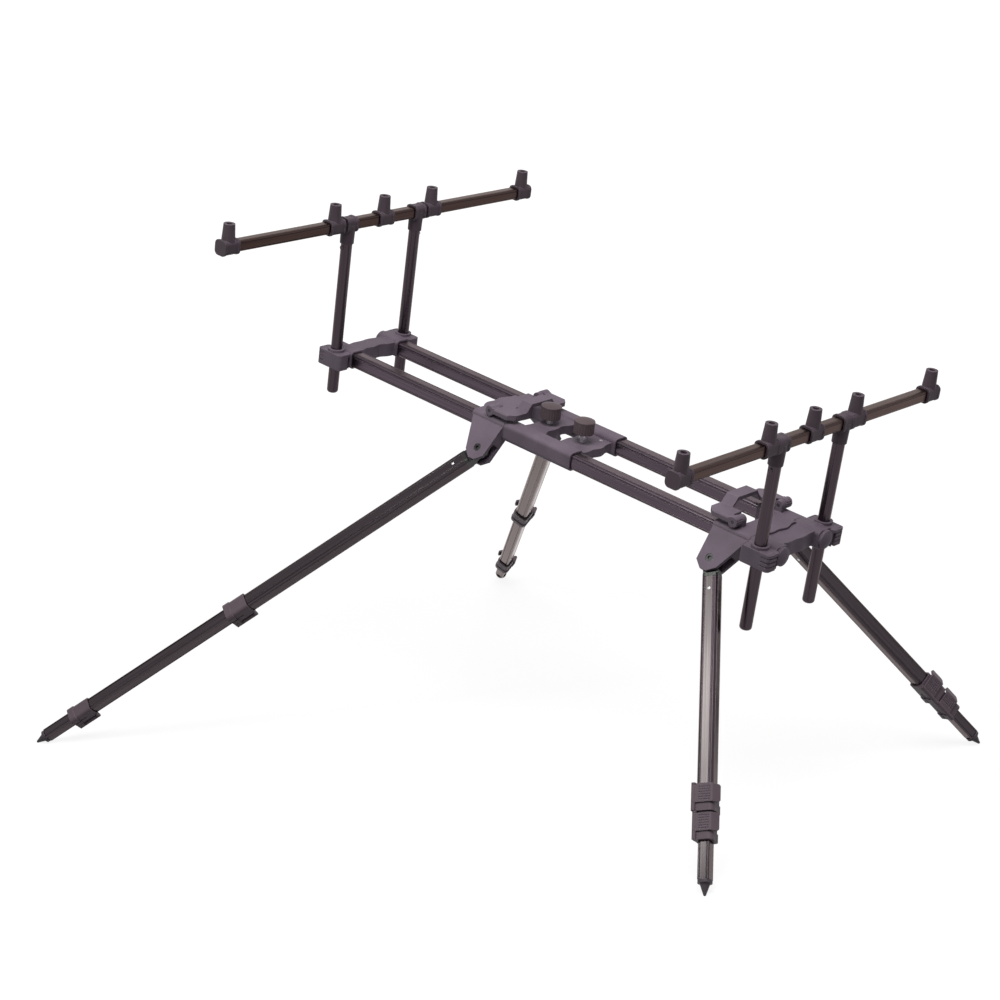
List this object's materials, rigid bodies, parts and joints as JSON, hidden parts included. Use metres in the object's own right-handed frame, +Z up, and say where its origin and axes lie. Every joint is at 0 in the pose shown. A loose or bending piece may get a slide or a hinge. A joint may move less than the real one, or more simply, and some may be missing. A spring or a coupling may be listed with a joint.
{
  "type": "rod pod",
  "caption": "Folding fishing rod pod with telescoping twin rails, splayed telescopic legs and a raised bar of threaded rod sockets at each end.",
  "frame": {"origin": "on the ground, in the middle of the box that holds the pod as it stands", "axes": "X runs to the rear along the pod, Y to the right as seen from the rear, Z up; the rails slope down to the rear"},
  "size_m": [1.0458, 0.9622, 0.727],
  "materials": {
    "anodised_tube": "dark anodised, semi-gloss, long extrusion lines",
    "bare_aluminium": "plain drawn aluminium",
    "moulded_plastic": "dark charcoal moulding with a fine grain",
    "knob_plastic": "dark charcoal moulding, fluted grip",
    "spike_plastic": "dark hard nylon",
    "steel": "zinc plated"
  },
  "bodies": {
    "front_frame": {"front_rails": "anodised_tube", "front_end_block": "moulded_plastic", "front_yoke": "moulded_plastic"},
    "inner_rails": {"inner_rails": "bare_aluminium"},
    "rear_frame": {"rear_rails": "anodised_tube", "rear_end_block": "moulded_plastic", "rear_yoke": "moulded_plastic"},
    "front_knob": {"front_knob": "knob_plastic", "front_knob_stud": "steel"},
    "rear_knob": {"rear_knob": "knob_plastic", "rear_knob_stud": "steel"},
    "front_leg_block": {"front_leg_block": "moulded_plastic", "front_pins": "steel"},
    "rear_leg_block": {"rear_leg_block": "moulded_plastic", "rear_pins": "steel"},
    "front_cam_lever": {"front_cam_lever": "moulded_plastic"},
    "rear_cam_lever": {"rear_cam_lever": "moulded_plastic"},
    "front_bar_set": {"front_bar": "anodised_tube", "front_bar_fittings": "moulded_plastic", "front_posts": "anodised_tube"},
    "rear_bar_set": {"rear_bar": "anodised_tube", "rear_bar_fittings": "moulded_plastic", "rear_posts": "anodised_tube"},
    "front_left_leg": {"front_left_head": "moulded_plastic", "front_left_upper_tube": "anodised_tube", "front_left_upper_collar": "moulded_plastic"},
    "front_left_upper_lever": {"front_left_upper_lever": "moulded_plastic"},
    "front_left_middle_leg": {"front_left_middle_tube": "anodised_tube", "front_left_lower_collar": "moulded_plastic"},
    "front_left_lower_lever": {"front_left_lower_lever": "moulded_plastic"},
    "front_left_lower_leg": {"front_left_lower_tube": "anodised_tube", "front_left_spike": "spike_plastic"},
    "front_right_leg": {"front_right_head": "moulded_plastic", "front_right_upper_tube": "anodised_tube", "front_right_upper_collar": "moulded_plastic"},
    "front_right_upper_lever": {"front_right_upper_lever": "moulded_plastic"},
    "front_right_middle_leg": {"front_right_middle_tube": "anodised_tube", "front_right_lower_collar": "moulded_plastic"},
    "front_right_lower_lever": {"front_right_lower_lever": "moulded_plastic"},
    "front_right_lower_leg": {"front_right_lower_tube": "anodised_tube", "front_right_spike": "spike_plastic"},
    "rear_left_leg": {"rear_left_head": "moulded_plastic", "rear_left_upper_tube": "anodised_tube", "rear_left_upper_collar": "moulded_plastic"},
    "rear_left_upper_lever": {"rear_left_upper_lever": "moulded_plastic"},
    "rear_left_middle_leg": {"rear_left_middle_tube": "anodised_tube", "rear_left_lower_collar": "moulded_plastic"},
    "rear_left_lower_lever": {"rear_left_lower_lever": "moulded_plastic"},
    "rear_left_lower_leg": {"rear_left_lower_tube": "anodised_tube", "rear_left_spike": "spike_plastic"},
    "rear_right_leg": {"rear_right_head": "moulded_plastic", "rear_right_upper_tube": "anodised_tube", "rear_right_upper_collar": "moulded_plastic"},
    "rear_right_upper_lever": {"rear_right_upper_lever": "moulded_plastic"},
    "rear_right_middle_leg": {"rear_right_middle_tube": "anodised_tube", "rear_right_lower_collar": "moulded_plastic"},
    "rear_right_lower_lever": {"rear_right_lower_lever": "moulded_plastic"},
    "rear_right_lower_leg": {"rear_right_lower_tube": "anodised_tube", "rear_right_spike": "spike_plastic"}
  },
  "joints": [
    {"name": "front_pull_out", "type": "slide", "parent": "front_frame", "child": "inner_rails", "axis": [0.9765, 0, -0.2154], "range_m": [0, 0.18]},
    {"name": "rear_pull_out", "type": "slide", "parent": "inner_rails", "child": "rear_frame", "axis": [0.9765, 0, -0.2154], "range_m": [0, 0.18]},
    {"name": "front_knob_turn", "type": "hinge", "parent": "front_frame", "child": "front_knob", "pos_m": [0.03248, 0, 0.42751], "axis": [0.2154, 0, 0.9765], "range_deg": [-720, 0]},
    {"name": "rear_knob_turn", "type": "hinge", "parent": "rear_frame", "child": "rear_knob", "pos_m": [0.09058, 0, 0.41469], "axis": [0.2154, 0, 0.9765], "range_deg": [-720, 0]},
    {"name": "front_leg_block_slide", "type": "slide", "parent": "front_frame", "child": "front_leg_block", "axis": [0.9765, 0, -0.2154], "range_m": [-0.2373, 0]},
    {"name": "rear_leg_block_slide", "type": "slide", "parent": "rear_frame", "child": "rear_leg_block", "axis": [0.9765, 0, -0.2154], "range_m": [-0.2373, 0]},
    {"name": "front_cam_lever_swing", "type": "hinge", "parent": "front_leg_block", "child": "front_cam_lever", "pos_m": [-0.02008, 0, 0.4601], "axis": [0, -1, 0], "range_deg": [0, 100]},
    {"name": "rear_cam_lever_swing", "type": "hinge", "parent": "rear_leg_block", "child": "rear_cam_lever", "pos_m": [0.38371, 0, 0.37104], "axis": [0, 1, 0], "range_deg": [0, 100]},
    {"name": "front_bar_raise", "type": "slide", "parent": "front_frame", "child": "front_bar_set", "axis": [0.2154, 0, 0.9765], "range_m": [-0.1455, 0.035]},
    {"name": "rear_bar_raise", "type": "slide", "parent": "rear_frame", "child": "rear_bar_set", "axis": [0.2154, 0, 0.9765], "range_m": [-0.096, 0.0845]},
    {"name": "front_left_fold", "type": "hinge", "parent": "front_leg_block", "child": "front_left_leg", "pos_m": [-0.02333, -0.07415, 0.40823], "axis": [0.135, -0.7793, 0.6119], "range_deg": [0, 86]},
    {"name": "front_left_middle_pull", "type": "slide", "parent": "front_left_leg", "child": "front_left_middle_leg", "axis": [-0.6547, -0.5337, -0.5353], "range_m": [-0.2396, 0]},
    {"name": "front_left_lower_pull", "type": "slide", "parent": "front_left_middle_leg", "child": "front_left_lower_leg", "axis": [-0.6547, -0.5337, -0.5353], "range_m": [-0.045, 0.2]},
    {"name": "front_left_upper_lever_flip", "type": "hinge", "parent": "front_left_leg", "child": "front_left_upper_lever", "pos_m": [-0.27958, -0.2809, 0.17789], "axis": [-0.6547, -0.5337, -0.5353], "range_deg": [0, 100]},
    {"name": "front_left_lower_lever_flip", "type": "hinge", "parent": "front_left_middle_leg", "child": "front_left_lower_lever", "pos_m": [-0.4598, -0.42777, 0.03288], "axis": [-0.6547, -0.5337, -0.5353], "range_deg": [0, 100]},
    {"name": "front_right_fold", "type": "hinge", "parent": "front_leg_block", "child": "front_right_leg", "pos_m": [-0.02333, 0.07415, 0.40823], "axis": [-0.135, -0.7793, -0.6119], "range_deg": [0, 86]},
    {"name": "front_right_middle_pull", "type": "slide", "parent": "front_right_leg", "child": "front_right_middle_leg", "axis": [-0.6547, 0.5337, -0.5353], "range_m": [-0.2396, 0]},
    {"name": "front_right_lower_pull", "type": "slide", "parent": "front_right_middle_leg", "child": "front_right_lower_leg", "axis": [-0.6547, 0.5337, -0.5353], "range_m": [-0.045, 0.2]},
    {"name": "front_right_upper_lever_flip", "type": "hinge", "parent": "front_right_leg", "child": "front_right_upper_lever", "pos_m": [-0.27569, 0.30335, 0.19551], "axis": [-0.6547, 0.5337, -0.5353], "range_deg": [0, 100]},
    {"name": "front_right_lower_lever_flip", "type": "hinge", "parent": "front_right_middle_leg", "child": "front_right_lower_lever", "pos_m": [-0.4563, 0.44803, 0.04879], "axis": [-0.6547, 0.5337, -0.5353], "range_deg": [0, 100]},
    {"name": "rear_left_fold", "type": "hinge", "parent": "rear_leg_block", "child": "rear_left_leg", "pos_m": [0.36484, -0.07415, 0.32261], "axis": [0.135, -0.7793, 0.6119], "range_deg": [-86, 0]},
    {"name": "rear_left_middle_pull", "type": "slide", "parent": "rear_left_leg", "child": "rear_left_middle_leg", "axis": [0.3687, -0.5337, -0.7611], "range_m": [0, 0.16]},
    {"name": "rear_left_lower_pull", "type": "slide", "parent": "rear_left_middle_leg", "child": "rear_left_lower_leg", "axis": [0.3687, -0.5337, -0.7611], "range_m": [-0.045, 0.16]},
    {"name": "rear_left_upper_lever_flip", "type": "hinge", "parent": "rear_left_leg", "child": "rear_left_upper_lever", "pos_m": [0.46817, -0.25104, 0.09806], "axis": [0.3687, -0.5337, -0.7611], "range_deg": [0, 100]},
    {"name": "rear_left_lower_lever_flip", "type": "hinge", "parent": "rear_left_middle_leg", "child": "rear_left_lower_lever", "pos_m": [0.48195, -0.26785, 0.07133], "axis": [0.3687, -0.5337, -0.7611], "range_deg": [0, 100]},
    {"name": "rear_right_fold", "type": "hinge", "parent": "rear_leg_block", "child": "rear_right_leg", "pos_m": [0.36484, 0.07415, 0.32261], "axis": [-0.135, -0.7793, -0.6119], "range_deg": [-86, 0]},
    {"name": "rear_right_middle_pull", "type": "slide", "parent": "rear_right_leg", "child": "rear_right_middle_leg", "axis": [0.3687, 0.5337, -0.7611], "range_m": [0, 0.16]},
    {"name": "rear_right_lower_pull", "type": "slide", "parent": "rear_right_middle_leg", "child": "rear_right_lower_leg", "axis": [0.3687, 0.5337, -0.7611], "range_m": [-0.045, 0.16]},
    {"name": "rear_right_upper_lever_flip", "type": "hinge", "parent": "rear_right_leg", "child": "rear_right_upper_lever", "pos_m": [0.48841, 0.22247, 0.08783], "axis": [0.3687, 0.5337, -0.7611], "range_deg": [0, 100]},
    {"name": "rear_right_lower_lever_flip", "type": "hinge", "parent": "rear_right_middle_leg", "child": "rear_right_lower_lever", "pos_m": [0.5, 0.24238, 0.06221], "axis": [0.3687, 0.5337, -0.7611], "range_deg": [0, 100]}
  ]
}
